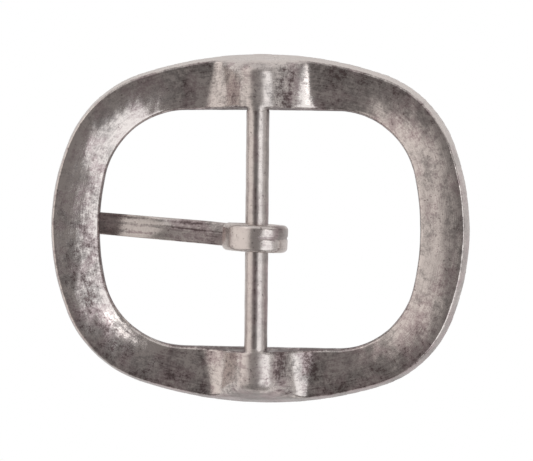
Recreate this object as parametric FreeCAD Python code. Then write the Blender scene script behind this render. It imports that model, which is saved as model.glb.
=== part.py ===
"""Centre-bar belt buckle for a 38 mm strap: a curved cast frame, its bar cast in, and a prong on the bar.

Millimetres. The origin is the middle of the bar's axis. +Y runs along the bar, +X towards the side of the
frame that the prong swings over to, and +Z out of the back of the buckle, towards the wearer. It lies on its
front.
"""

import math
import os

import FreeCAD
import Part

Vector = FreeCAD.Vector

# Frame, seen square on from the back. Each outline is four equal quarters of three tangent arcs.
OUTER = {"half_x": 35.4, "half_y": 29.55, "top": 65.0, "side": 40.4, "corner": 19.8}
OPENING = {"half_x": 27.3, "half_y": 20.0, "top": 900.0, "side": 42.8, "corner": 13.8}
BEND_RADIUS = 120.0  # the frame is bent parallel to the bar, so that its ends reach towards the wearer

# Cross-section of the frame, as heights above its widest line
BACK_EDGE_HEIGHT = 2.2
BACK_CROWN_HEIGHT = 2.4
FRONT_SHOULDER_DEPTH = 1.2
FRONT_DEPTH = 1.8
OUTER_SLOPE = 0.9  # how far the back edge is set in from the outer outline
INNER_SLOPE = 0.6
SHOULDER_SET_IN = 1.3
WALL_BULGE = 0.18
SHOULDER_BULGE = 0.28
SECTIONS = 48

# Bar and the two bridges that carry it
BAR_RADIUS = 1.975
BAR_RISE = 6.5  # bar axis above the frame's widest line, at the middle
BRIDGE_CREST_RADIUS = 4.3
BRIDGE_FLANK_ANGLE = 48.0
BRIDGE_FOOT_RADIUS = 3.0
BRIDGE_HALF_WIDTH = 8.8
BRIDGE_DRAFT = 15.0  # slope of the bridge's outer end
BAR_FLARE = 0.8  # radius of the hollow where the bar meets the bridge
BAR_OVERLAP = 1.0  # the bar runs this far into each bridge

# Prong. The loop is loose on the bar, so it stands a little off the bar's axis.
LOOP_CENTRE = Vector(0.45, 0, 0)
LOOP_INNER_RADIUS = 2.65
STRIP_THICKNESS = 2.1
LOOP_WIDTH = 4.6
LOOP_EDGE_RADIUS = 0.5
LOOP_INNER_EDGE_RADIUS = 0.25
CURL_START = 110.0  # where the strip's end leaves the loop's circle for a wider curl down to the shank
CURL_RADIUS = 8.2
CURL_SWEEP = 48.0
SHANK_SLOPE = 3.75  # down towards the front of the buckle
SHANK_WIDTH = 3.9
SHANK_TIP_WIDTH = 3.7
SHANK_EDGE_RADIUS = 0.6
ROOT_OVERLAP = 0.4  # the shank runs on this far into the loop's own metal
TRIM_MARGIN = 1.0  # the shank's blank is this much bigger than the plan that trims it
BEND_START = 27.0  # distance from the bar's axis at which the shank bends up to lie along the frame
TIP_BEND_RADIUS = 42.0
PRONG_REACH = 33.6  # bar axis to tip
LOOP_YAW = 2.2
SHANK_YAW = 3.9  # the shank is a little askew, as the prong lies on the frame
PRONG_SHIFT = -1.35  # along the bar

TOLERANCE = 1e-3  # for telling edges apart


def polar(radius, degrees):
    """A point in the XZ plane, measured from +X towards +Z."""
    return Vector(radius * math.cos(math.radians(degrees)), 0, radius * math.sin(math.radians(degrees)))


def outline_arcs(outline, set_in=0.0):
    """Centres and radii of the side, corner and top arcs of one quarter, and the corner arc's centre."""
    top = outline["top"] - set_in
    side = outline["side"] - set_in
    corner = outline["corner"] - set_in
    top_centre = Vector(0, outline["half_y"] - outline["top"], 0)
    side_centre = Vector(outline["half_x"] - outline["side"], 0, 0)
    between = side_centre - top_centre
    to_top = top - corner
    to_side = side - corner
    along = (to_top**2 - to_side**2 + between.Length**2) / (2 * between.Length)
    across = math.sqrt(to_top**2 - along**2)
    unit = between.normalize()
    corner_centre = top_centre + unit * along + Vector(unit.y, -unit.x, 0) * across
    return (side_centre, side), (corner_centre, corner), (top_centre, top)


def outline_radius(outline, degrees, set_in=0.0):
    """Distance from the middle to the outline along a ray, with the outline set in by a constant width."""
    angle = math.radians(degrees)
    ray = Vector(abs(math.cos(angle)), abs(math.sin(angle)), 0)
    (side_centre, side), (corner_centre, corner), (top_centre, top) = outline_arcs(outline, set_in)
    side_end = side_centre + (corner_centre - side_centre).normalize() * side
    top_end = top_centre + (corner_centre - top_centre).normalize() * top
    if ray.y * side_end.x < side_end.y * ray.x:
        centre, radius = side_centre, side
    elif ray.y * top_end.x > top_end.y * ray.x:
        centre, radius = top_centre, top
    else:
        centre, radius = corner_centre, corner
    reach = ray.dot(centre)
    return reach + math.sqrt(reach**2 - centre.dot(centre) + radius**2)


def bent(x, y, height):
    """A point of the flat frame, moved to where bending the frame puts it."""
    turn = math.asin(x / BEND_RADIUS)
    arm = BEND_RADIUS - height
    return Vector(arm * math.sin(turn), y, BEND_RADIUS - arm * math.cos(turn) - BAR_RISE)


def frame_section(degrees):
    """Closed cross-section of the frame along a ray from the middle."""
    inner = outline_radius(OPENING, degrees)
    inner_back = outline_radius(OPENING, degrees, -INNER_SLOPE)
    inner_shoulder = outline_radius(OPENING, degrees, -SHOULDER_SET_IN)
    outer = outline_radius(OUTER, degrees)
    outer_back = outline_radius(OUTER, degrees, OUTER_SLOPE)
    outer_shoulder = outline_radius(OUTER, degrees, SHOULDER_SET_IN)
    middle = (inner + outer) / 2

    def at(distance, height):
        angle = math.radians(degrees)
        return bent(distance * math.cos(angle), distance * math.sin(angle), height)

    half_wall = BACK_EDGE_HEIGHT / 2
    half_front = -FRONT_SHOULDER_DEPTH / 2
    corners = [
        at(inner, 0),
        at(inner_back, BACK_EDGE_HEIGHT),
        at(outer_back, BACK_EDGE_HEIGHT),
        at(outer, 0),
        at(outer_shoulder, -FRONT_SHOULDER_DEPTH),
        at(inner_shoulder, -FRONT_SHOULDER_DEPTH),
    ]
    bulges = [
        at((inner + inner_back) / 2 - WALL_BULGE, half_wall),
        at(middle, BACK_CROWN_HEIGHT),
        at((outer + outer_back) / 2 + WALL_BULGE, half_wall),
        at((outer + outer_shoulder) / 2 + SHOULDER_BULGE, half_front - SHOULDER_BULGE),
        at(middle, -FRONT_DEPTH),
        at((inner + inner_shoulder) / 2 - SHOULDER_BULGE, half_front - SHOULDER_BULGE),
    ]
    ends = corners[1:] + corners[:1]
    return Part.Wire([Part.Arc(a, b, c).toShape() for a, b, c in zip(corners, bulges, ends)])


def frame_ring():
    """The curved ring of the frame, lofted round its cross-sections."""
    step = 360.0 / SECTIONS
    sections = [frame_section(90 + step * i) for i in range(SECTIONS)]
    solid, ruled, closed = True, False, True
    return Part.makeLoft(sections, solid, ruled, closed)


def bridge_outline():
    """Bell-shaped profile of a bridge across the bar, in the XZ plane: crest, flanks and hollow feet."""
    flank = math.radians(BRIDGE_FLANK_ANGLE)
    crest_centre = Vector(0, 0, BAR_RADIUS - BRIDGE_CREST_RADIUS)
    crest_end = crest_centre + polar(BRIDGE_CREST_RADIUS, 90 - BRIDGE_FLANK_ANGLE)
    crest_top = Vector(0, 0, BAR_RADIUS)
    foot_turn = math.sin(flank) * BRIDGE_FOOT_RADIUS
    foot_start_x = BRIDGE_HALF_WIDTH - foot_turn
    foot_start = Vector(foot_start_x, 0, crest_end.z - (foot_start_x - crest_end.x) * math.tan(flank))
    foot_centre = foot_start + polar(BRIDGE_FOOT_RADIUS, 90 - BRIDGE_FLANK_ANGLE)
    foot_middle = foot_centre + polar(-BRIDGE_FOOT_RADIUS, 90 - BRIDGE_FLANK_ANGLE / 2)
    foot_end = foot_centre + polar(-BRIDGE_FOOT_RADIUS, 90)
    base = -BAR_RISE
    right = [crest_end, foot_start, foot_middle, foot_end, Vector(foot_end.x, 0, base)]
    left = [Vector(-p.x, 0, p.z) for p in right]
    return Part.Wire(
        [
            Part.Arc(left[0], crest_top, right[0]).toShape(),
            Part.LineSegment(right[0], right[1]).toShape(),
            Part.Arc(right[1], right[2], right[3]).toShape(),
            Part.LineSegment(right[3], right[4]).toShape(),
            Part.LineSegment(right[4], left[4]).toShape(),
            Part.LineSegment(left[4], left[3]).toShape(),
            Part.Arc(left[3], left[2], left[1]).toShape(),
            Part.LineSegment(left[1], left[0]).toShape(),
        ]
    )


def bridge_slab(start, end):
    """The bridge's profile, extruded along the bar."""
    face = Part.Face(bridge_outline())
    face.translate(Vector(0, start, 0))
    return face.extrude(Vector(0, end - start, 0))


def bridge():
    """The bridge at the +Y end of the bar, with its outer end sloped to follow the outline."""
    inner_face = OPENING["half_y"] + INNER_SLOPE
    slab = bridge_slab(inner_face, OUTER["half_y"])
    centre_y = OUTER["half_y"] - OUTER["top"]
    height = BAR_RISE + BAR_RADIUS
    set_in = math.tan(math.radians(BRIDGE_DRAFT))
    bottom = OUTER["top"] - OUTER_SLOPE + BACK_EDGE_HEIGHT * set_in
    foot = Vector(0, centre_y, -BAR_RISE)
    limit = Part.makeCone(bottom, bottom - height * set_in, height, foot, Vector(0, 0, 1))
    return slab.common(limit)


def bar_flare():
    """Hollow flare where the bar meets the +Y bridge, kept inside the bridge's own profile."""
    face_y = OPENING["half_y"] + INNER_SLOPE
    start = face_y - BAR_FLARE
    rim = BAR_RADIUS + BAR_FLARE
    sine = math.sin(math.radians(45)) * BAR_FLARE
    hollow = Part.Arc(
        Vector(BAR_RADIUS, start, 0), Vector(rim - sine, start + sine, 0), Vector(rim, face_y, 0)
    ).toShape()
    corners = ((rim, face_y), (0, face_y), (0, start), (BAR_RADIUS, start))
    sides = Part.makePolygon([Vector(x, y, 0) for x, y in corners])
    flare = Part.Face(Part.Wire([hollow] + sides.Edges)).revolve(Vector(), Vector(0, 1, 0), 360)
    return flare.common(bridge_slab(start, face_y))


def frame():
    """The frame casting: ring, two bridges and the bar between them."""
    half_bar = OPENING["half_y"] + INNER_SLOPE + BAR_OVERLAP
    bar = Part.makeCylinder(BAR_RADIUS, 2 * half_bar, Vector(0, -half_bar, 0), Vector(0, 1, 0))
    carriers = [bridge(), bar_flare()]
    carriers += [c.mirror(Vector(), Vector(0, 1, 0)) for c in carriers]
    return frame_ring().multiFuse(carriers + [bar]).removeSplitter().Solids[0]


def rounded(solid, radius, edges):
    """The solid with some of its edges rounded."""
    return solid.makeFillet(radius, edges).Solids[0]


def round_edge(edge, radius=None):
    """Whether an edge is an arc, of the given radius if there is one."""
    if not isinstance(edge.Curve, Part.Circle):
        return False
    return radius is None or abs(edge.Curve.Radius - radius) < TOLERANCE


def flat_on_side(edge):
    """Whether an edge lies in one of the loop's two flat sides."""
    box = edge.BoundBox
    return box.YLength < TOLERANCE and abs(abs(box.Center.y) - LOOP_WIDTH / 2) < TOLERANCE


def loop():
    """The rolled end of the prong: round the bar, then curled down to the shank, with its edges rounded."""
    outer_radius = LOOP_INNER_RADIUS + STRIP_THICKNESS
    curl_end = CURL_START + CURL_SWEEP
    curl_centre = LOOP_CENTRE + polar(outer_radius - CURL_RADIUS, CURL_START)
    inner_curl = CURL_RADIUS - STRIP_THICKNESS
    foot = 270 + SHANK_SLOPE

    def arc(centre, radius, start, end):
        angles = (start, (start + end) / 2, end)
        return Part.Arc(*[centre + polar(radius, angle) for angle in angles]).toShape()

    def across(centre, angle, radius, other_radius):
        return Part.LineSegment(centre + polar(radius, angle), centre + polar(other_radius, angle)).toShape()

    edges = [
        arc(LOOP_CENTRE, outer_radius, foot - 360, CURL_START),
        arc(curl_centre, CURL_RADIUS, CURL_START, curl_end),
        across(curl_centre, curl_end, CURL_RADIUS, inner_curl),
        arc(curl_centre, inner_curl, curl_end, CURL_START),
        arc(LOOP_CENTRE, LOOP_INNER_RADIUS, CURL_START, foot - 360),
        across(LOOP_CENTRE, foot, LOOP_INNER_RADIUS, outer_radius),
    ]
    face = Part.Face(Part.Wire(edges))
    face.translate(Vector(0, -LOOP_WIDTH / 2, 0))
    solid = face.extrude(Vector(0, LOOP_WIDTH, 0))
    rims = [e for e in solid.Edges if flat_on_side(e)]
    outer_rims = [e for e in rims if round_edge(e, outer_radius)]
    end_rims = [e for e in rims if not round_edge(e) and e.BoundBox.XMax < LOOP_CENTRE.x - LOOP_INNER_RADIUS]
    solid = rounded(solid, LOOP_EDGE_RADIUS, outer_rims + end_rims)
    inner_rims = [e for e in solid.Edges if round_edge(e, LOOP_INNER_RADIUS) and flat_on_side(e)]
    return rounded(solid, LOOP_INNER_EDGE_RADIUS, inner_rims)


def shank():
    """The straight part of the prong, bent up near its tip to lie along the front of the frame."""
    foot = 270 + SHANK_SLOPE
    outer_radius = LOOP_INNER_RADIUS + STRIP_THICKNESS
    along = polar(1, 180 + SHANK_SLOPE)
    bend_top = LOOP_CENTRE + polar(LOOP_INNER_RADIUS, foot) + along * BEND_START
    bend_bottom = LOOP_CENTRE + polar(outer_radius, foot) + along * BEND_START
    root_top = bend_top - along * (BEND_START + ROOT_OVERLAP)
    root_bottom = bend_bottom - along * (BEND_START + ROOT_OVERLAP)
    bend_centre = bend_top - polar(TIP_BEND_RADIUS, foot)
    bend_angle = math.degrees((PRONG_REACH + TRIM_MARGIN - BEND_START) / TIP_BEND_RADIUS)
    outer_bend = TIP_BEND_RADIUS + STRIP_THICKNESS

    def bend_arc(radius, start, end):
        angles = (foot - start, foot - (start + end) / 2, foot - end)
        return Part.Arc(*[bend_centre + polar(radius, angle) for angle in angles]).toShape()

    tip_top = bend_centre + polar(TIP_BEND_RADIUS, foot - bend_angle)
    tip_bottom = bend_centre + polar(outer_bend, foot - bend_angle)
    side = Part.Wire(
        [
            Part.LineSegment(root_top, bend_top).toShape(),
            bend_arc(TIP_BEND_RADIUS, 0, bend_angle),
            Part.LineSegment(tip_top, tip_bottom).toShape(),
            bend_arc(outer_bend, bend_angle, 0),
            Part.LineSegment(bend_bottom, root_bottom).toShape(),
            Part.LineSegment(root_bottom, root_top).toShape(),
        ]
    )
    half_root = SHANK_WIDTH / 2
    half_tip = SHANK_TIP_WIDTH / 2
    face = Part.Face(side)
    face.translate(Vector(0, -half_root - TRIM_MARGIN, 0))
    slab = face.extrude(Vector(0, SHANK_WIDTH + 2 * TRIM_MARGIN, 0))
    round_start = half_tip - PRONG_REACH
    root = root_bottom.x + TRIM_MARGIN
    depth = -outer_radius * 2
    plan = ((round_start, half_tip), (root, half_root), (root, -half_root), (round_start, -half_tip))
    corners = [Vector(x, y, depth) for x, y in plan]
    tip = Part.Arc(corners[3], Vector(-PRONG_REACH, 0, depth), corners[0]).toShape()
    outline = Part.Face(Part.Wire(Part.makePolygon(corners).Edges + [tip])).extrude(Vector(0, 0, -depth))
    blank = slab.common(outline)
    long_edges = [e for e in blank.Edges if e.BoundBox.XLength > STRIP_THICKNESS / 2]
    return rounded(blank, SHANK_EDGE_RADIUS, long_edges)


def prong():
    """The prong: loop and shank in one piece, the shank turned a little further than the loop."""
    turned = []
    for piece, yaw in ((loop(), LOOP_YAW), (shank(), SHANK_YAW)):
        piece.rotate(LOOP_CENTRE, Vector(0, 0, 1), -yaw)
        piece.translate(Vector(0, PRONG_SHIFT, 0))
        turned.append(piece)
    return turned[0].fuse(turned[1]).removeSplitter().Solids[0]


def main():
    os.makedirs("parts", exist_ok=True)
    nodes = {"frame": frame(), "prong": prong()}
    for name, shape in nodes.items():
        print(name, "valid", shape.isValid(), "volume", round(shape.Volume, 1), shape.BoundBox)
        shape.exportStep(f"parts/{name}.step")


main()
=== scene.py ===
"""Looks for the centre-bar belt buckle: worn antique-silver plate on a cast frame and its prong.

The frame casting is worked out as a signed distance field, in millimetres, and meshed once. The prong is one
strip swept round its loop and along its shank. Both keep to the CAD's dimensions. The buckle lies on its
front: +Z is its back, which the camera looks at, and the prong points towards -X.
"""

import math

import bpy
import numpy as np
from mathutils import Matrix, Vector


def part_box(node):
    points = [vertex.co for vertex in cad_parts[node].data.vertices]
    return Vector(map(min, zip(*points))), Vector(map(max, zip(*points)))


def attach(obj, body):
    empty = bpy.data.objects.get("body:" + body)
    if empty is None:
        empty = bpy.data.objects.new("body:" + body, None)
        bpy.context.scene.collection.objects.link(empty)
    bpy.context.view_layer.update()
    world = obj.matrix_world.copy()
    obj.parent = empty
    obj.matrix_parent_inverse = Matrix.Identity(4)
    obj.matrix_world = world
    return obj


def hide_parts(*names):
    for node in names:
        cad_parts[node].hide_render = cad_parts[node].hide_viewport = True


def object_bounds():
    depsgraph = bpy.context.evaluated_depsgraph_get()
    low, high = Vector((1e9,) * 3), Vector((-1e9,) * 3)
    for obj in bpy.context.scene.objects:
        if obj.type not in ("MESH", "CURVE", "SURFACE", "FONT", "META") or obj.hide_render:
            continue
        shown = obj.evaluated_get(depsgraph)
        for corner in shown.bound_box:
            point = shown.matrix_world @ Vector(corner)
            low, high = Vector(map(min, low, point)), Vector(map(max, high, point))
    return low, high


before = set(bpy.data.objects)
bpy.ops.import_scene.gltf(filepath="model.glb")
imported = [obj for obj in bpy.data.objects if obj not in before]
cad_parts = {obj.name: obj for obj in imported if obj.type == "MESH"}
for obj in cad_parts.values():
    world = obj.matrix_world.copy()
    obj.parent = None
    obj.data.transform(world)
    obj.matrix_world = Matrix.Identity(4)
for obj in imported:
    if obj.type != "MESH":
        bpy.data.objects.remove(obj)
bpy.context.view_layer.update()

MM = 0.001
FRAME_LOW, FRAME_HIGH = (np.array(corner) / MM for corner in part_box("frame"))
PRONG_LOW = np.array(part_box("prong")[0]) / MM

# Frame, in millimetres. The bar's axis is Y, through the origin. The ring is bent to a cylinder parallel to
# the bar, and heights on it are measured backwards from that cylinder.
BEND_RADIUS = 120.0
HALF_LENGTH = FRAME_HIGH[0] + 0.06  # the unevenness of the casting takes this little off again
HALF_WIDTH = FRAME_HIGH[1] + 0.1
BAR_RADIUS = FRAME_HIGH[2] - 0.015
FRONT_DEPTH = 1.78
BAR_RISE = -FRAME_LOW[2] - FRONT_DEPTH - 0.02  # of the bar's axis above the cylinder
OUTER = {"half_x": HALF_LENGTH, "half_y": HALF_WIDTH, "top": 65.0, "side": 40.4, "corner": 19.8}
OPENING = {"half_x": 27.3, "half_y": 20.0, "top": 900.0, "side": 42.8, "corner": 13.8}
BACK_EDGE_HEIGHT = 2.12
BACK_CROWN = 0.28
CORNER_FALL = 0.6  # of the back towards the opening, at the ring's corners
LOWER_LEFT_FALL = 0.28  # the same again, close to the opening, at the worn lower left corner
UNEVENNESS = 0.04
FRONT_SHOULDER_DEPTH = 1.2
SHOULDER_SET_IN = 1.3
LOWEST_DOME = -1.6  # keeps the front's dome from running away outside the ring
WIDEST_DEPTH = 0.9  # the outer wall is widest this far in front of the cylinder
OUTER_SLOPE = 0.27  # run of the outer wall towards the middle, per millimetre of height, up to WALL_KNEE
BRIDGE_END_SLOPES = (0.11, 0.3)  # the same above WALL_KNEE, on the outer ends of the +Y and the -Y bridge
WALL_KNEE = 2.2
INNER_SLOPE = 0.3
INNER_KNEE = 1.1
INNER_EDGE_RADIUS = 0.36
BACK_EDGE_RADIUS = 0.34
FRONT_EDGE_RADIUS = 0.4
BRIDGE_EDGE_RADIUS = 2.0
SEAM_RADIUS = 0.05  # where the walls' back and front halves meet
CREST_RADIUS = 4.3
FLANK_ANGLE = math.radians(48)
FOOT_RADII = (2.76, 0.72)  # of the hollows at the bridges' feet, beside the opening and at the outer wall
BAR_ROOT_RADIUS = 0.6
BAR_NECKING = 0.45  # how much the bar draws in per millimetre, as it runs into a bridge
BAR_OVERLAP = 2.5
MESH_PITCH = 0.26

# Prong, in millimetres. Distances along it run from the loop's free end.
LOOP_CENTRE = (0.45, 0.0)
LOOP_INNER_RADIUS = 2.65
STRIP_THICKNESS = 2.08
LOOP_HALF_WIDTH = 2.28
SHANK_HALF_WIDTH = 1.93
TIP_HALF_WIDTH = 1.85
NARROWING_START = 20.0  # the loop's width begins to change to the shank's
NARROWING_LENGTH = 9.0
TAPER_LENGTH = 27.0  # of the shank, to its tip
LOOP_END_RADIUS = 0.75
CURL_START = math.radians(110)
CURL_RADIUS = 8.2
CURL_SWEEP = math.radians(48)
SHANK_SLOPE = math.radians(3.75)
BEND_START = 27.0
TIP_BEND_RADIUS = 42.0
PRONG_REACH = -PRONG_LOW[0] + 0.08
LOOP_YAW = math.radians(2.2)
SHANK_YAW = math.radians(3.9)
PRONG_SHIFT = -1.35  # along the bar
CROWN = 0.14
CREASE_DEPTH = 0.15
TIP_THINNING = 1.45
FOLD_DEPTH = 0.16  # of the line round the loop

# Places on the ring's back painted darker or brighter: the bright ones, at the upper left and the lower left
# corner, are painted highlights. amount is how much darker it is there, or brighter when negative; spread is
# the square of how far that reaches, along X and along Y; inner is how closely it keeps to the opening's
# side.
# a painted highlight on the upper left corner, where the right softbox is reflected
UPPER_LEFT_CORNER = {"amount": -0.6, "middle": (-20.5, 15.5), "spread": (95, 95), "inner": 0}
BACK_PATCHES_AND_HIGHLIGHTS = (
    UPPER_LEFT_CORNER,
    {"amount": 0.45, "middle": (-28, -4), "spread": (30, 60), "inner": 1},
    {"amount": 0.55, "middle": (15, 25), "spread": (60, 30), "inner": 0},
    # a painted highlight along the opening at the lower left corner
    {"amount": -0.9, "middle": (-22, -19), "spread": (30, 30), "inner": 2},
    {"amount": 0.35, "middle": (23, -18), "spread": (60, 60), "inner": 0},
)
BRIDGE_HALF_WIDTH = 7.0  # the bridges' own rubbing, painted highlights and painted shade fade out past this
FLANK_MIDDLE = 4.2
CREST_SIDE = 2.5  # the painted highlight beside the crest
FOOT_MIDDLE = 8.0
RING_END = 27.0
BAR_MOTTLING = 0.35
BAR_DULLNESS = 0.15


def blend(a, b, t):
    """From a to b as t goes from 0 to 1, easing in and out."""
    t = np.clip(t, 0.0, 1.0)
    return a + (b - a) * t * t * (3 - 2 * t)


def rise(value, start, run):
    """From 0 to 1 while a value goes from start through run more, easing in and out."""
    return blend(0, 1, (value - start) / run)


def stripe(value, middle, width):
    """A soft stripe: 1 where the value is at the middle, fading on both sides."""
    return np.exp(-(((value - middle) / width) ** 2))


def patch(x, y, place):
    """A soft patch on the frame's back, 1 at its middle."""
    middle, spread = place["middle"], place["spread"]
    return np.exp(-((x - middle[0]) ** 2) / spread[0] - (y - middle[1]) ** 2 / spread[1])


def ramp_down(t, softness):
    """From 1 to 0 as t goes from 0 to 1, at an even rate but for its softened ends."""
    return 0.5 * (1 + np.hypot(t - 1, softness) - np.hypot(t, softness))


def is_bar(x, y):
    """Whether points of the casting are on the bar, between the bridges."""
    return (np.abs(y) < OPENING["half_y"] - 0.2) & (np.abs(x) < BAR_RADIUS + 0.5)


def both(a, b, radius):
    """Where two distance fields overlap, with the edge between them rounded."""
    corner = np.hypot(np.maximum(a + radius, 0), np.maximum(b + radius, 0))
    return np.minimum(np.maximum(a, b), -radius) + corner


def either(a, b, radius):
    """Two distance fields joined, with the inside corner between them filled to a radius."""
    return -both(-a, -b, radius)


def outline_distance(x, y, outline):
    """Distance outside an outline made of four equal quarters, each of three tangent arcs."""
    x = np.abs(x)
    y = np.abs(y)
    side, corner, top = outline["side"], outline["corner"], outline["top"]
    side_x = outline["half_x"] - side
    top_y = outline["half_y"] - top
    span = math.hypot(side_x, top_y)
    along = ((top - corner) ** 2 - (side - corner) ** 2 + span**2) / (2 * span)
    across = math.sqrt((top - corner) ** 2 - along**2)
    unit_x, unit_y = side_x / span, -top_y / span
    corner_x = unit_x * along + unit_y * across
    corner_y = top_y + unit_y * along - unit_x * across
    by_side = (corner_x - side_x) * y - corner_y * (x - side_x) < 0
    by_top = corner_x * (y - top_y) - (corner_y - top_y) * x > 0
    distance = np.hypot(x - corner_x, y - corner_y) - corner
    distance = np.where(by_side, np.hypot(x - side_x, y) - side, distance)
    return np.where(by_top, np.hypot(x, y - top_y) - top, distance)


def unevenness(x, y, z):
    """The slow unevenness of a polished casting, from -1 to 1, as crossed waves of three sizes."""
    slow = np.sin(0.61 * x + 0.37 * y + 1.3) * np.cos(0.43 * y - 0.52 * x + 0.4)
    middling = np.sin(1.21 * x - 0.83 * y + 0.9 * z + 2.1) * np.cos(0.97 * y + 0.71 * x)
    quick = np.sin(2.3 * x + 1.1 * y + 0.6) * np.cos(1.9 * y - 1.3 * x + z)
    return 0.55 * slow + 0.3 * middling + 0.15 * quick


def bell_distance(x, z):
    """Distance above the bridges: a round crest along the bar's line, with a flat flank on each side."""
    reach = np.abs(x)
    across, up = math.cos(FLANK_ANGLE), math.sin(FLANK_ANGLE)
    above_centre = z - BAR_RADIUS + CREST_RADIUS
    crest = np.hypot(reach, above_centre) - CREST_RADIUS
    flank = reach * up + above_centre * across - CREST_RADIUS
    return np.where(reach * across < above_centre * up, crest, flank)


def back_distance(x, y, z, height, share):
    """Distance behind the ring's back and its two bridges. share runs from 0 at the opening to 1."""
    corner = rise(np.abs(x * y) / (HALF_LENGTH * HALF_WIDTH), 0.18, 0.2)
    lower_left = rise(-x, 0, 8) * rise(-y, 0, 8)
    back = height - BACK_EDGE_HEIGHT - BACK_CROWN * 4 * share * (1 - share)
    back = back + CORNER_FALL * corner * np.clip(1 - share / 0.8, 0, 1) ** 2
    back = back + LOWER_LEFT_FALL * corner * lower_left * np.clip(1 - share / 0.4, 0, 1) ** 2
    foot_radius = FOOT_RADII[0] + (FOOT_RADII[1] - FOOT_RADII[0]) * share
    return either(back, bell_distance(x, z), foot_radius)


def ring_field(x, y, z):
    """The ring with its two bridges: crowned back, domed front and sloping walls."""
    reach = np.hypot(x, BEND_RADIUS - BAR_RISE - z)
    height = BEND_RADIUS - reach
    outside = outline_distance(x, y, OUTER)
    inside = -outline_distance(BEND_RADIUS * x / reach, y, OPENING)
    band = np.maximum(-outside - inside, 1.0)
    back = back_distance(x, y, z, height, np.clip(-inside / band, 0, 1))

    front_share = (-inside - SHOULDER_SET_IN) / (band - 2 * SHOULDER_SET_IN)
    dome = np.maximum(4 * front_share * (1 - front_share), LOWEST_DOME)
    front = -height - FRONT_SHOULDER_DEPTH - (FRONT_DEPTH - FRONT_SHOULDER_DEPTH) * dome

    set_in = OUTER_SLOPE * np.clip(height + WIDEST_DEPTH, 0, WALL_KNEE + WIDEST_DEPTH)
    set_in = set_in + blend(*BRIDGE_END_SLOPES, (-y - 8) / 8) * np.maximum(height - WALL_KNEE, 0)
    outer_wall = (outside + set_in) / math.hypot(1, OUTER_SLOPE)
    inner_wall = inside + INNER_SLOPE * np.clip(height - INNER_KNEE, 0, WALL_KNEE - INNER_KNEE)
    edge_radius = blend(BRIDGE_EDGE_RADIUS, BACK_EDGE_RADIUS, (np.abs(x) - 3.0) / 5.5)
    back_part = both(both(back, outer_wall, edge_radius), inner_wall, INNER_EDGE_RADIUS)
    return both(back_part, both(front, np.maximum(outside, inside), FRONT_EDGE_RADIUS), SEAM_RADIUS)


def bar_field(x, y, z):
    """The round bar, drawn in a little where it runs on into the bridges."""
    drawn_in = BAR_NECKING * np.maximum(np.abs(y) - OPENING["half_y"] + 0.3, 0)
    return np.maximum(np.hypot(x, z) - BAR_RADIUS + drawn_in, np.abs(y) - OPENING["half_y"] - BAR_OVERLAP)


def frame_field(x, y, z):
    """Distance outside the whole casting."""
    casting = either(ring_field(x, y, z), bar_field(x, y, z), BAR_ROOT_RADIUS)
    return casting + UNEVENNESS * (1 + unevenness(x, y, z))


def gradient(field, points, step=0.02):
    """Slope of a distance field at points, by differences."""
    slopes = []
    for axis in range(3):
        ahead = points.copy()
        behind = points.copy()
        ahead[:, axis] += step
        behind[:, axis] -= step
        slopes.append((field(*ahead.T) - field(*behind.T)) / (2 * step))
    return np.stack(slopes, 1)


def onto_surface(field, points, passes=3):
    """Moves points onto the surface of a distance field, by short steps along its slope."""
    for _ in range(passes):
        slope = gradient(field, points)
        size = np.maximum((slope**2).sum(1), 0.05)
        step = np.clip(field(*points.T) / size, -0.3, 0.3)
        points = points - slope * step[:, None]
    return points


def net(field, low, high, pitch):
    """A closed mesh of quads over a distance field's surface: one point in each grid cell it crosses."""
    axes = [np.arange(a - 2 * pitch, b + 3 * pitch, pitch) for a, b in zip(low, high)]
    value = np.empty([len(a) for a in axes], np.float32)
    yy, zz = np.meshgrid(axes[1], axes[2], indexing="ij")
    for i, x in enumerate(axes[0]):
        value[i] = field(np.full_like(yy, x), yy, zz)

    # Each grid edge that the surface crosses adds its crossing to the four cells round it
    total = np.zeros(value.shape + (3,), np.float32)
    count = np.zeros(value.shape, np.float32)
    crossings = []
    for axis in range(3):
        near = [slice(None)] * 3
        far = [slice(None)] * 3
        near[axis] = slice(0, -1)
        far[axis] = slice(1, None)
        a, b = value[tuple(near)], value[tuple(far)]
        where = np.argwhere((a < 0) != (b < 0))
        here = a[tuple(where.T)]
        there = b[tuple(where.T)]
        spot = where.astype(np.float32)
        spot[:, axis] += here / (here - there)
        crossings.append((where, here < 0))
        others = [k for k in range(3) if k != axis]
        for back_1 in (0, 1):
            for back_2 in (0, 1):
                cell = where.copy()
                cell[:, others[0]] -= back_1
                cell[:, others[1]] -= back_2
                np.add.at(total, tuple(cell.T), spot)
                np.add.at(count, tuple(cell.T), 1)

    used = np.argwhere(count > 0)
    number = np.full(value.shape, -1, np.int64)
    number[tuple(used.T)] = np.arange(len(used))
    points = total[tuple(used.T)] / count[tuple(used.T)][:, None]
    points = points * pitch + np.array([a[0] for a in axes])

    # The four cells' points round each crossing make a quad, turned to face outwards
    quads = []
    for axis, (where, leaving) in enumerate(crossings):
        first, second = (axis + 1) % 3, (axis + 2) % 3
        corners = []
        for back_1, back_2 in ((0, 0), (1, 0), (1, 1), (0, 1)):
            cell = where.copy()
            cell[:, first] -= back_1
            cell[:, second] -= back_2
            corners.append(number[tuple(cell.T)])
        face = np.stack(corners, 1)
        face[~leaving] = face[~leaving][:, ::-1]
        quads.append(face)
    return points.astype(np.float64), np.concatenate(quads)


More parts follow.
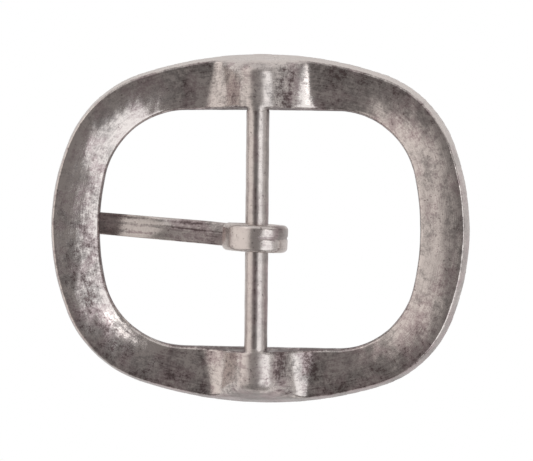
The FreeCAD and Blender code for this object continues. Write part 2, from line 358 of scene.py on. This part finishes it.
def relax(field, points, quads, passes=4):
    """Evens out the mesh along the surface, keeping every point on it."""
    edges = np.concatenate([quads[:, [i, (i + 1) % 4]] for i in range(4)])
    start = np.concatenate([edges[:, 0], edges[:, 1]])
    end = np.concatenate([edges[:, 1], edges[:, 0]])
    degree = np.bincount(start, minlength=len(points))[:, None]
    for _ in range(passes):
        middle = np.stack([np.bincount(start, points[end, k], len(points)) for k in range(3)], 1) / degree
        slope = gradient(field, points)
        slope /= np.maximum(np.linalg.norm(slope, axis=1), 1e-6)[:, None]
        move = (middle - points) * 0.6
        move -= slope * (move * slope).sum(1)[:, None]
        points = onto_surface(field, points + move, 1)
    return onto_surface(field, points, 2)


def make_piece(name, points, faces, body, node, material):
    """A smooth-shaded Blender object, riding on a body and standing for a CAD node."""
    mesh = bpy.data.meshes.new(name)
    mesh.from_pydata((points * MM).tolist(), [], faces)
    mesh.validate()
    mesh.polygons.foreach_set("use_smooth", [True] * len(mesh.polygons))
    mesh.materials.append(material)
    piece = bpy.data.objects.new(name, mesh)
    bpy.context.scene.collection.objects.link(piece)
    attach(piece, body)
    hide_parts(node)
    return piece


def store(piece, name, values):
    """Keeps a number or a vector for each point in the mesh, for its material to read."""
    values = np.asarray(values, np.float32)
    if values.ndim == 1:
        piece.data.attributes.new(name, "FLOAT", "POINT").data.foreach_set("value", values)
    else:
        piece.data.attributes.new(name, "FLOAT_VECTOR", "POINT").data.foreach_set("vector", values.ravel())


def store_edges(piece, points, out):
    """Marks the casting's edges and hollows, where points a little in or out are nearer its surface."""
    reach = 0.5
    edge = frame_field(*(points - out * reach).T) + reach
    hollow = frame_field(*(points + out * reach).T) - reach
    store(piece, "edge", np.clip(edge * 3.0, 0, 1))
    store(piece, "hollow", np.clip(-hollow * 3.0, 0, 1))


def store_wear_and_painted_light(piece, points, out):
    """Says how dark, how mottled and how dull the plate is on each part of the casting.

    The darkness is 1 for the back's usual dark plate, 0 where it is rubbed bright and where highlights are
    painted, and more where it is black and where shade is painted.
    """
    x, y, z = points.T
    out_x, out_y, out_z = out.T
    from_opening = outline_distance(x, y, OPENING)
    from_outside = outline_distance(x, y, OUTER)
    across = np.clip(from_opening / (from_opening - from_outside), 0, 1)  # 0 at the opening, 1 at the rim

    on_bar = is_bar(x, y)
    on_bridge = (1 - rise(np.abs(x), BRIDGE_HALF_WIDTH, 2.0)) * rise(z + BAR_RISE, 1.5, 1.5)
    # the +X flanks are darker by painted shade, most at -Y
    flank_patina_and_shade = np.where(x > 0, np.where(y > 0, 1.6, 3.4), 0.7)
    on_flank = stripe(np.abs(x), FLANK_MIDDLE, 1.6) * on_bridge * flank_patina_and_shade
    on_outer_wall = rise(0.75 - out_z, 0, 0.3) * (np.abs(from_outside) < 3.0)
    on_inner_wall = rise(0.65 - out_z, 0, 0.3) * (from_opening < 1.0)
    upper_left = patch(x, y, UPPER_LEFT_CORNER)

    # The back: darker towards the outer edge, with darker patches and two painted highlights, and paler at
    # its two ends
    dark = 1 + 0.9 * (across - 0.5) * (1 - on_bridge)
    for place in BACK_PATCHES_AND_HIGHLIGHTS:
        dark = dark + place["amount"] * patch(x, y, place) * (1 - across) ** place["inner"]
    dark = dark - 0.75 * rise(np.abs(x), RING_END, 4.0) * across
    dark = dark - 0.25 * rise(x, 15.0, 10.0)
    dark = dark + (0.3 - 0.75 * across) * rise(-x, 22.0, 8.0)
    lower_left_side = rise(-x, 18.0, 6.0) * rise(6.0 - y, 0, 8.0)
    dark = dark + 0.65 * lower_left_side * stripe(across, 0.45, 0.18)

    # The bridges: rubbed, with darker flanks, the +X ones darker still by painted shade, and a painted
    # highlight beside the crest. At -Y their outer end and their +X foot are darker, painted shade, and at
    # +Y both are brighter, painted light.
    # a painted highlight beside the crest
    dark = dark - 0.7 * on_bridge + 0.55 * on_flank - 0.8 * on_bridge * stripe(x, CREST_SIDE, 0.9)
    # painted light at +Y and painted shade at -Y on the bridges' outer ends
    dark = dark + 0.35 * on_bridge * rise(across, 0.75, 0.2) * np.sign(-y)
    on_foot = stripe(x, FOOT_MIDDLE, 1.0) * (1 - rise(across, 0.55, 0.3))
    # the +X foot: a painted highlight at +Y and painted shade at -Y
    dark = dark + np.where(y > 0, -0.8, 1.6) * on_foot

    # The walls and the bar. Painted shade and light: the outer walls are lighter where they face +Y and
    # darker where they face -Y, the inner walls are dark, and the bar has a painted dark reflection down its
    # middle and shade on its +X side
    # the outer walls: painted light where they face +Y, painted shade where they face -Y
    outer_wall_patina_and_painted_light = 0.75 - 1.15 * out_y - 0.05 * out_x
    # the inner walls are painted dark: painted shade
    dark = dark + (outer_wall_patina_and_painted_light - dark) * on_outer_wall + 2.4 * on_inner_wall
    # a painted dark reflection down the bar's middle and painted shade on its +X side, over a little patina
    bar_patina_and_painted_shade = 0.1 + 1.4 * rise(out_x, 0.7, 0.2) + 2.0 * stripe(out_x, 0, 0.17)
    store(piece, "patina_and_painted_light", np.where(on_bar, bar_patina_and_painted_shade, dark))

    calm = 0.5 * rise(x, 8.0, 12.0) * (1 - across)
    on_lively_flank = np.minimum(on_flank, np.where(y > 0, 1, 0.5))
    lively = 1.05 - 0.4 * on_bridge + 0.9 * on_lively_flank - 0.6 * upper_left - calm
    lively = lively * (1 - 0.7 * on_outer_wall)
    store(piece, "mottling", np.where(on_bar, BAR_MOTTLING, lively))
    dull_crest = on_bridge * (0.09 + 0.1 * stripe(x, 0, 3.2))
    store(piece, "dullness", np.where(on_bar, BAR_DULLNESS, dull_crest))


def store_frame_brushing(piece, points):
    """Gives the brush marks a place to be read from: they run round the ring and along the bar."""
    x, y, z = points.T
    on_bar = is_bar(x, y)
    rim = -outline_distance(BEND_RADIUS * x / np.hypot(x, BEND_RADIUS - BAR_RISE - z), y, OUTER)
    round_ring = np.stack([9 * x / np.hypot(x, y), 9 * y / np.hypot(x, y), rim], 1)
    along_bar = np.stack([y / 4, np.zeros_like(y), x], 1)
    store(piece, "brushing", np.where(on_bar[:, None], along_bar, round_ring))


def make_frame(material):
    """The frame casting, meshed from its distance field, with its wear, painted shade and painted highlights
    marked.
    """
    pitch = MESH_PITCH
    points, quads = net(frame_field, FRAME_LOW, FRAME_HIGH, pitch)
    points = relax(frame_field, onto_surface(frame_field, points), quads)
    piece = make_piece("frame_casting", points, quads.tolist(), "frame", "frame", material)
    out = gradient(frame_field, points)
    out /= np.linalg.norm(out, axis=1)[:, None]
    store_edges(piece, points, out)
    store_wear_and_painted_light(piece, points, out)
    store_frame_brushing(piece, points)


def arc_spots(centre, radius, angles):
    """Spots along an arc in the XZ plane, each with its outward direction."""
    outs = [(math.cos(angle), math.sin(angle)) for angle in angles]
    return [(centre[0] + radius * out[0], centre[1] + radius * out[1], *out) for out in outs]


def prong_path():
    """Spots along the prong's middle line, from the loop's free end to the tip, and how far along they are.

    Each spot is X, Z and the outward direction there, which is the loop's outside and the shank's front.
    """
    middle = STRIP_THICKNESS / 2
    radius = LOOP_INNER_RADIUS + middle
    curl_radius = CURL_RADIUS - middle
    foot = SHANK_SLOPE - math.radians(90)
    curl_centre = (
        LOOP_CENTRE[0] + (radius - curl_radius) * math.cos(CURL_START),
        LOOP_CENTRE[1] + (radius - curl_radius) * math.sin(CURL_START),
    )
    curl_angles = np.linspace(CURL_START + CURL_SWEEP, CURL_START, 28, endpoint=False)
    spots = arc_spots(curl_centre, curl_radius, curl_angles)
    spots += arc_spots(LOOP_CENTRE, radius, np.linspace(CURL_START, foot, 72, endpoint=False))

    out = (math.cos(foot), math.sin(foot))
    along = (out[1], -out[0])
    foot_x = LOOP_CENTRE[0] + radius * out[0]
    foot_z = LOOP_CENTRE[1] + radius * out[1]
    for run in np.linspace(0, BEND_START, 70, endpoint=False):
        spots.append((foot_x + along[0] * run, foot_z + along[1] * run, *out))

    bend_radius = TIP_BEND_RADIUS + middle
    bend_centre = (
        foot_x + along[0] * BEND_START - out[0] * bend_radius,
        foot_z + along[1] * BEND_START - out[1] * bend_radius,
    )
    last = foot - (PRONG_REACH - BEND_START - LOOP_CENTRE[0]) / TIP_BEND_RADIUS
    spots = np.array(spots + arc_spots(bend_centre, bend_radius, np.linspace(foot, last, 40)))
    distances = np.concatenate([[0], np.cumsum(np.hypot(*np.diff(spots[:, :2], axis=0).T))])
    return spots, distances


def prong_stations(length):
    """Distances along the prong at which it has a section: even, but closer at its two rounded ends."""
    fine_start = np.linspace(0, 1.2, 12, endpoint=False)
    even = np.linspace(1.2, length - 2.2, 190)
    fine_tip = length - 2.2 * (1 - np.sin(np.linspace(0, math.pi / 2, 22)[1:]))
    return np.concatenate([fine_start, even, fine_tip])[:, None]


def ease_end(distance, radius):
    """How much an edge draws in near an end that is rounded to a radius."""
    near = np.clip(radius - distance, 0, radius)
    return radius - np.sqrt(np.maximum(radius**2 - near**2, 0))


def strip_section(half_width, half_thick, radius):
    """The strip's rounded outline at each station: offsets across its width and along its thickness."""
    flat = np.linspace(1, -1, 26)
    side = np.linspace(1, -1, 6)
    quarter = np.linspace(0, math.pi / 2, 7)[1:-1]
    flat_end = half_width - radius
    side_end = half_thick - radius
    wide, thick = [], []
    for sign in (1, -1):
        # One flat face, and the corner after it
        turn = math.pi / 2 * sign + quarter
        wide += [flat_end * flat * sign, -flat_end * sign + radius * np.cos(turn)]
        thick += [half_thick * sign + 0 * flat, side_end * sign + radius * np.sin(turn)]
        # The side wall on from there, and its corner
        turn = turn + math.pi / 2
        wide += [-half_width * sign + 0 * side, -flat_end * sign + radius * np.cos(turn)]
        thick += [side_end * side * sign, -side_end * sign + radius * np.sin(turn)]
    return np.concatenate(wide, 1), np.concatenate(thick, 1)


def shank_crease(wide, from_tip):
    """The long crease in the shank's back face, and how far across the width it lies."""
    middle = 0.12 + 0.6 * (1 - from_tip / 33.0)
    depth = CREASE_DEPTH * blend(0.3, 1, (from_tip - 15) / 6)
    return depth * stripe(wide, middle, 0.11), middle


def shank_let_in(wide, from_tip, half_width, half_thick):
    """How far the shank's back face is let in: crowned, bevelled, creased, and thinned towards the tip."""
    crease, crease_middle = shank_crease(wide, from_tip)
    crown = CROWN * np.clip((wide + 0.3) / half_width, -1, 1) ** 2
    bevel = np.maximum(wide - crease_middle, 0) * (0.16 + 0.2 * rise(from_tip, 10, 10))
    thinning = TIP_THINNING * ramp_down((from_tip - 7.3 + 0.6 * (wide - 0.4) ** 2) / 9.0, 0.1)
    return bevel + crown + crease + thinning * (half_thick > 1.0)


def store_prong_wear_and_painted_light(piece, wide, from_tip, on_shank, out_x, out_z):
    """Says how dark, how mottled and how dull the prong is: bright on the loop, with painted shade where it
    turns to +X, and streaked on its shank, with a painted highlight on a rubbed patch and painted shade by
    its +Y edge.
    """
    # a rubbed patch on the shank, which also paints the highlight of its thinned face
    worn = stripe(from_tip, 12.5, 6.0) * on_shank
    streaks = 0.9 - 0.65 * np.cos(5.2 * wide - 1.4) - 0.3 * rise(-wide, 0.6, 1.2)
    # a band of painted shade near the shank's +Y edge
    painted_edge_shade = rise(wide, 0.8, 0.6) * (1 - rise(wide, 1.5, 0.2))
    # painted shade where the loop's back turns towards +X
    loop_painted_shade = stripe(out_x, 0.8, 0.25) * (out_z > 0) * rise(wide, 0.1, 0.5)
    dark = blend(0.05, 1.4, on_shank) - 2.3 * worn * streaks
    dark = dark + 0.7 * on_shank * painted_edge_shade + 1.8 * (1 - on_shank) * loop_painted_shade
    zero = np.zeros_like(wide)
    store(piece, "patina_and_painted_light", dark.ravel())
    store(piece, "mottling", (zero + blend(0.45, 0.9, on_shank)).ravel())
    store(piece, "dullness", (zero + 0.06 + 0.2 * on_shank - 0.3 * worn).ravel())


def tube_faces(rings, around):
    """Quads between rings of points, with a face over each end."""
    faces = []
    for i in range(rings - 1):
        for j in range(around):
            k = (j + 1) % around
            faces.append((i * around + j, i * around + k, (i + 1) * around + k, (i + 1) * around + j))
    faces.append(tuple(reversed(range(around))))
    faces.append(tuple(range((rings - 1) * around, rings * around)))
    return faces


def make_prong(material):
    """The prong, as one strip swept along its path: wide round the loop and narrower along the shank."""
    spots, distances = prong_path()
    stations = prong_stations(distances[-1])
    from_tip = distances[-1] - stations
    on_shank = np.clip((stations - NARROWING_START) / NARROWING_LENGTH, 0, 1)
    x, z, out_x, out_z = (np.interp(stations[:, 0], distances, spots[:, k])[:, None] for k in range(4))

    half_width = blend(LOOP_HALF_WIDTH, SHANK_HALF_WIDTH, on_shank)
    tapered = blend(TIP_HALF_WIDTH, SHANK_HALF_WIDTH, from_tip / TAPER_LENGTH)
    half_width = np.where(from_tip < TAPER_LENGTH, tapered, half_width)
    half_width = half_width - ease_end(stations, LOOP_END_RADIUS)
    half_width = half_width - ease_end(from_tip, TIP_HALF_WIDTH - 0.02)
    half_thick = STRIP_THICKNESS / 2 - ease_end(stations, 0.45) - 0.9 * ease_end(from_tip, 0.7)
    edge_radius = np.minimum(np.minimum(blend(1.0, 0.5, on_shank), half_thick * 0.8), half_width * 0.6)
    wide, thick = strip_section(half_width, half_thick, edge_radius)

    back_side = thick < 0
    let_in = shank_let_in(wide, from_tip, half_width, half_thick) * on_shank
    thick = thick + let_in * np.clip(-thick / half_thick, 0, 1)
    fold = FOLD_DEPTH * stripe(wide, 0.15, 0.2) * rise(stations, 6.5, 2.0) * (1 - on_shank)
    thick = thick - np.where(~back_side & (half_thick > 1.0), fold, 0)

    yaw = blend(LOOP_YAW, SHANK_YAW, on_shank)
    cos, sin = np.cos(yaw), np.sin(yaw)
    from_centre = x + out_x * thick - LOOP_CENTRE[0]
    place_x = from_centre * cos + wide * sin + LOOP_CENTRE[0]
    place_y = wide * cos - from_centre * sin + PRONG_SHIFT
    points = np.stack([place_x, place_y, z + out_z * thick], 2).reshape(-1, 3)
    faces = tube_faces(*wide.shape)
    piece = make_piece("prong_strip", points, faces, "prong", "prong", material)

    crease = shank_crease(wide, from_tip)[0] * on_shank
    store(piece, "edge", (0.8 * (half_width - np.abs(wide) < 0.45)).ravel())
    store(piece, "hollow", np.where(back_side, crease * 9, fold * 5).ravel())
    store_prong_wear_and_painted_light(piece, wide, from_tip, on_shank, out_x, out_z)
    store(piece, "brushing", np.stack([stations / 4 + 0 * wide, thick, wide], 2).reshape(-1, 3))


class Finish:
    """A node material being put together. Places and lengths in it are in millimetres."""

    def __init__(self, name):
        self.material = bpy.data.materials.new(name)
        self.material.use_nodes = True
        self.tree = self.material.node_tree
        self.shader = self.tree.nodes["Principled BSDF"]
        place = self.add("ShaderNodeTexCoord").outputs["Object"]
        self.place = self.math_vector("SCALE", place, scale=1 / MM)

    def add(self, kind, **settings):
        made = self.tree.nodes.new(kind)
        for key, value in settings.items():
            setattr(made, key, value)
        return made

    def put(self, value, socket):
        """Sets a socket to a constant, or links another socket to it."""
        if isinstance(value, bpy.types.NodeSocket):
            self.tree.links.new(value, socket)
        else:
            socket.default_value = value

    def math_vector(self, operation, vector, other=None, scale=None):
        made = self.add("ShaderNodeVectorMath", operation=operation)
        self.put(vector, made.inputs[0])
        if other is not None:
            self.put(other, made.inputs[1])
        if scale is not None:
            made.inputs["Scale"].default_value = scale
        return made.outputs[0]

    def math(self, operation, first, second=0.0, clamp=False):
        made = self.add("ShaderNodeMath", operation=operation, use_clamp=clamp)
        self.put(first, made.inputs[0])
        self.put(second, made.inputs[1])
        return made.outputs[0]

    def noise(self, size, detail=4.0, roughness=0.6, place=None, warp=0.0):
        """Cloudy noise, about 0.5 on average, with patches of the given size."""
        made = self.add("ShaderNodeTexNoise")
        self.put(self.place if place is None else place, made.inputs["Vector"])
        made.inputs["Scale"].default_value = 1 / size
        made.inputs["Detail"].default_value = detail
        made.inputs["Roughness"].default_value = roughness
        made.inputs["Distortion"].default_value = warp
        return made.outputs["Fac"]

    def stored(self, name):
        """A number that the mesh keeps for each of its points."""
        return self.add("ShaderNodeAttribute", attribute_name=name).outputs["Fac"]

    def stored_place(self, name, scale):
        """A place that the mesh keeps for each of its points, scaled."""
        place = self.add("ShaderNodeAttribute", attribute_name=name).outputs["Vector"]
        return self.math_vector("MULTIPLY", place, scale)

    def between(self, value, low, high):
        """0 below low and 1 above high, easing from one to the other."""
        made = self.add("ShaderNodeMapRange", interpolation_type="SMOOTHSTEP")
        self.put(value, made.inputs["Value"])
        made.inputs["From Min"].default_value = low
        made.inputs["From Max"].default_value = high
        return made.outputs["Result"]

    def mix(self, share, first, second):
        """One colour blended into another."""
        made = self.add("ShaderNodeMix", data_type="RGBA")
        self.put(share, made.inputs["Factor"])
        self.put(first, made.inputs[6])  # the inputs A and B for colours
        self.put(second, made.inputs[7])
        return made.outputs[2]

    def raise_by(self, height, amount, under=None):
        """A bump of a height map whose full range stands for an amount in millimetres."""
        made = self.add("ShaderNodeBump")
        made.inputs["Strength"].default_value = 1.0
        made.inputs["Distance"].default_value = amount * MM
        self.put(height, made.inputs["Height"])
        if under is not None:
            self.put(under, made.inputs["Normal"])
        return made.outputs["Normal"]


# also the colour of the painted highlights
RUBBED_SILVER_AND_HIGHLIGHT = (0.70, 0.645, 0.617, 1)
PURPLE_GREY = (0.45, 0.374, 0.376, 1)
GREEN_GREY = (0.395, 0.364, 0.352, 1)
# also the colour of the darkest painted shade
DARK_PATINA_AND_SHADE = (0.15, 0.112, 0.112, 1)


def antique_silver(name, patina_level, roughness):
    """Silver plate darkened and rubbed back: pale on edges and crests, mottled and brushed on the flats."""
    f = Finish(name)
    cloud = f.noise(4.0, detail=3.0, roughness=0.55, warp=0.5)
    mottle = f.noise(0.9, detail=4.0, roughness=0.65)
    grain = f.noise(0.28, detail=3.0, roughness=0.7)
    brushing = f.noise(1.0, detail=3.0, roughness=0.6, place=f.stored_place("brushing", (1.0, 1.0, 5.0)))
    tone = f.noise(4.0, detail=2.0, roughness=0.5, place=f.math_vector("ADD", f.place, (31.0, 17.0, 5.0)))

    # How dark each spot is: the level that the mesh keeps, patina with painted shade and painted highlights
    # in it, and the textures as strongly as the mesh says
    patina_and_painted_light = f.math("MULTIPLY", f.stored("patina_and_painted_light"), 0.3)
    patina_and_painted_light = f.math("ADD", patina_and_painted_light, patina_level)
    mottling = 0.0
    for texture, amount in ((cloud, 1.6), (mottle, 1.9), (grain, 1.5), (brushing, 0.95)):
        mottling = f.math("ADD", mottling, f.math("MULTIPLY", f.math("SUBTRACT", texture, 0.5), amount))
    patina_and_painted_light = f.math("ADD", patina_and_painted_light, f.math("MULTIPLY", mottling, f.stored("mottling")))
    patina_and_painted_light = f.math("ADD", patina_and_painted_light, f.math("MULTIPLY", f.stored("hollow"), 0.5))
    patina_and_painted_light = f.math("SUBTRACT", patina_and_painted_light, f.math("MULTIPLY", f.stored("edge"), 0.15), clamp=True)

    # Bright metal, then grey patina of two tones, then nearly black, with dark specks over all; the bright
    # and the nearly black ends also show the painted highlights and the painted shade
    colour = f.mix(f.between(tone, 0.38, 0.62), PURPLE_GREY, GREEN_GREY)
    colour = f.mix(f.between(patina_and_painted_light, 0.05, 0.62), RUBBED_SILVER_AND_HIGHLIGHT, colour)
    colour = f.mix(f.between(patina_and_painted_light, 0.56, 1.08), colour, DARK_PATINA_AND_SHADE)
    pits = f.between(f.noise(0.55, detail=1.0, roughness=0.4), 0.70, 0.76)
    colour = f.mix(f.math("MULTIPLY", pits, 0.6), colour, DARK_PATINA_AND_SHADE)
    f.put(colour, f.shader.inputs["Base Color"])
    f.shader.inputs["Metallic"].default_value = 1.0

    # Rougher where it is darker
    rough = f.math("ADD", f.math("MULTIPLY", patina_and_painted_light, 0.16), f.math("ADD", f.stored("dullness"), roughness))
    rough = f.math("ADD", rough, f.math("MULTIPLY", f.math("SUBTRACT", grain, 0.5), 0.1))
    f.put(rough, f.shader.inputs["Roughness"])
    bump = f.raise_by(f.noise(1.6, detail=3.0, roughness=0.55), 0.026)
    bump = f.raise_by(brushing, 0.006, bump)
    bump = f.raise_by(grain, 0.006, bump)
    f.put(bump, f.shader.inputs["Normal"])
    return f.material


# Stage. Angles are in degrees and distances in metres.
FLOOR_COLOUR = (0.84, 0.83, 0.82, 1)
FLOOR_GLOW = 0.27
ROOM_COLOUR = (0.25, 0.235, 0.23, 1)
COOL_LIGHT = (0.97, 1, 1.02)
WARM_LIGHT = (1, 0.95, 0.91)
LEFT_SOFTBOX_EDGES = (28, 52)  # how far its two edges stand from straight up
LEFT_SOFTBOX_STEPS = 4  # it is made of this many panels on one another, so that its inner edge is soft
LEFT_SOFTBOX_STEP = 4  # between the panels' inner edges
CAMERA_DISTANCE = 0.45
CAMERA_TURNS = (7.82, 1.82, 0.58)  # towards +X, towards +Y, and rolled
CAMERA_AIM = (0.72, -0.305)  # millimetres from the ring's middle, to the right and up in the picture
CAMERA_LENS = 179.7


def pale_to_camera(tree, lit, kind):
    """Plain white where the camera looks past the buckle, and something dimmer for the metal to reflect."""
    white = tree.nodes.new(kind)
    white.inputs["Color"].default_value = (1, 1, 1, 1)
    seen = tree.nodes.new("ShaderNodeLightPath")
    mix = tree.nodes.new("ShaderNodeMixShader")
    tree.links.new(seen.outputs["Is Camera Ray"], mix.inputs[0])
    tree.links.new(lit.outputs[0], mix.inputs[1])
    tree.links.new(white.outputs[0], mix.inputs[2])
    return mix.outputs[0]


def make_floor():
    """The pale surface that the buckle lies on."""
    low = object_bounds()[0][2]
    mesh = bpy.data.meshes.new("floor")
    mesh.from_pydata([(-1, -1, low), (1, -1, low), (1, 1, low), (-1, 1, low)], [], [(0, 1, 2, 3)])
    floor = bpy.data.objects.new("floor", mesh)
    bpy.context.scene.collection.objects.link(floor)
    material = bpy.data.materials.new("pale_floor")
    material.use_nodes = True
    tree = material.node_tree
    shader = tree.nodes["Principled BSDF"]
    shader.inputs["Base Color"].default_value = FLOOR_COLOUR
    shader.inputs["Roughness"].default_value = 0.9
    shader.inputs["Specular IOR Level"].default_value = 0.0
    shader.inputs["Emission Color"].default_value = (1, 1, 1, 1)
    shader.inputs["Emission Strength"].default_value = FLOOR_GLOW
    shown = pale_to_camera(tree, shader, "ShaderNodeEmission")
    tree.links.new(shown, tree.nodes["Material Output"].inputs["Surface"])
    mesh.materials.append(material)


def make_surroundings():
    """A dim grey room round the buckle."""
    world = bpy.data.worlds.new("studio")
    world.use_nodes = True
    tree = world.node_tree
    room = tree.nodes["Background"]
    room.inputs["Color"].default_value = ROOM_COLOUR
    shown = pale_to_camera(tree, room, "ShaderNodeBackground")
    tree.links.new(shown, tree.nodes["World Output"].inputs["Surface"])
    bpy.context.scene.world = world


def add_panel(name, tilt, distance, spread, brightness, colour=(1, 1, 1), shape="RECTANGLE"):
    """A soft light that faces the buckle.

    tilt is how far it stands from straight up, towards +X and towards +Y, spread the angles that it fills as
    the buckle sees it, and brightness what a perfect mirror there would show.
    """
    sideways, forward = (math.radians(a) for a in tilt)
    level = math.cos(forward)
    place = Vector((math.sin(sideways) * level, math.sin(forward), math.cos(sideways) * level))
    light = bpy.data.lights.new(name, "AREA")
    light.shape = shape
    light.size, light.size_y = (2 * distance * math.tan(math.radians(a) / 2) for a in spread)
    light.color = colour
    area = light.size * light.size_y * (math.pi / 4 if shape == "ELLIPSE" else 1)
    light.energy = brightness * math.pi * area
    lamp = bpy.data.objects.new(name, light)
    across = Vector((math.cos(sideways), 0, -math.sin(sideways)))
    turn = Matrix((across, place.cross(across), place)).transposed().to_4x4()
    lamp.matrix_world = Matrix.Translation(place * distance) @ turn
    bpy.context.scene.collection.objects.link(lamp)


def light_buckle():
    """Softboxes on both sides, and dim panels low down that the walls of the ring reflect."""
    add_panel("right_softbox", (41, -20), 0.6, (50, 74), 1.0, COOL_LIGHT, "ELLIPSE")
    add_panel("right_softbox_corner", (32, 16), 0.6, (14, 16), 1.2)
    inner, outer = LEFT_SOFTBOX_EDGES
    for step in range(LEFT_SOFTBOX_STEPS):
        start = inner + LEFT_SOFTBOX_STEP * step
        name = "left_softbox_" + str(step + 1)
        add_panel(name, (-(start + outer) / 2, 0), 0.8, (outer - start, 90), 0.16, WARM_LIGHT)
    add_panel("left_horizon", (-71, 0), 0.8, (38, 90), 0.68, WARM_LIGHT)
    add_panel("right_horizon", (80, 0), 0.9, (28, 110), 0.3)
    add_panel("top_horizon", (0, 62), 0.9, (90, 50), 0.45)


def set_up_camera():
    """Looks down on the back of the buckle, a little from the right and from above."""
    right_of, above, roll = (math.radians(a) for a in CAMERA_TURNS)
    level = math.cos(above)
    out = Vector((math.sin(right_of) * level, math.sin(above), math.cos(right_of) * level))
    right = Vector((math.cos(right_of), 0, -math.sin(right_of)))
    up = out.cross(right)
    turned_right = right * math.cos(roll) + up * math.sin(roll)
    turned_up = up * math.cos(roll) - right * math.sin(roll)
    aside = turned_right * CAMERA_AIM[0] + turned_up * CAMERA_AIM[1]
    target = (Vector((0, 0, -BAR_RISE)) + aside) * MM
    camera = bpy.data.cameras.new("camera")
    camera.sensor_width = 36
    camera.lens = CAMERA_LENS
    camera.clip_start = 0.01
    eye = bpy.data.objects.new("camera", camera)
    turn = Matrix((turned_right, turned_up, out)).transposed().to_4x4()
    eye.matrix_world = Matrix.Translation(target + out * CAMERA_DISTANCE) @ turn
    bpy.context.scene.collection.objects.link(eye)
    bpy.context.scene.camera = eye


def main():
    frame_metal = antique_silver("antique_silver_frame", patina_level=0.16, roughness=0.12)
    prong_metal = antique_silver("antique_silver_prong", patina_level=0.15, roughness=0.16)
    make_frame(frame_metal)
    make_prong(prong_metal)
    make_floor()
    set_up_camera()
    light_buckle()
    make_surroundings()
    bpy.context.scene.view_settings.view_transform = "Standard"


main()
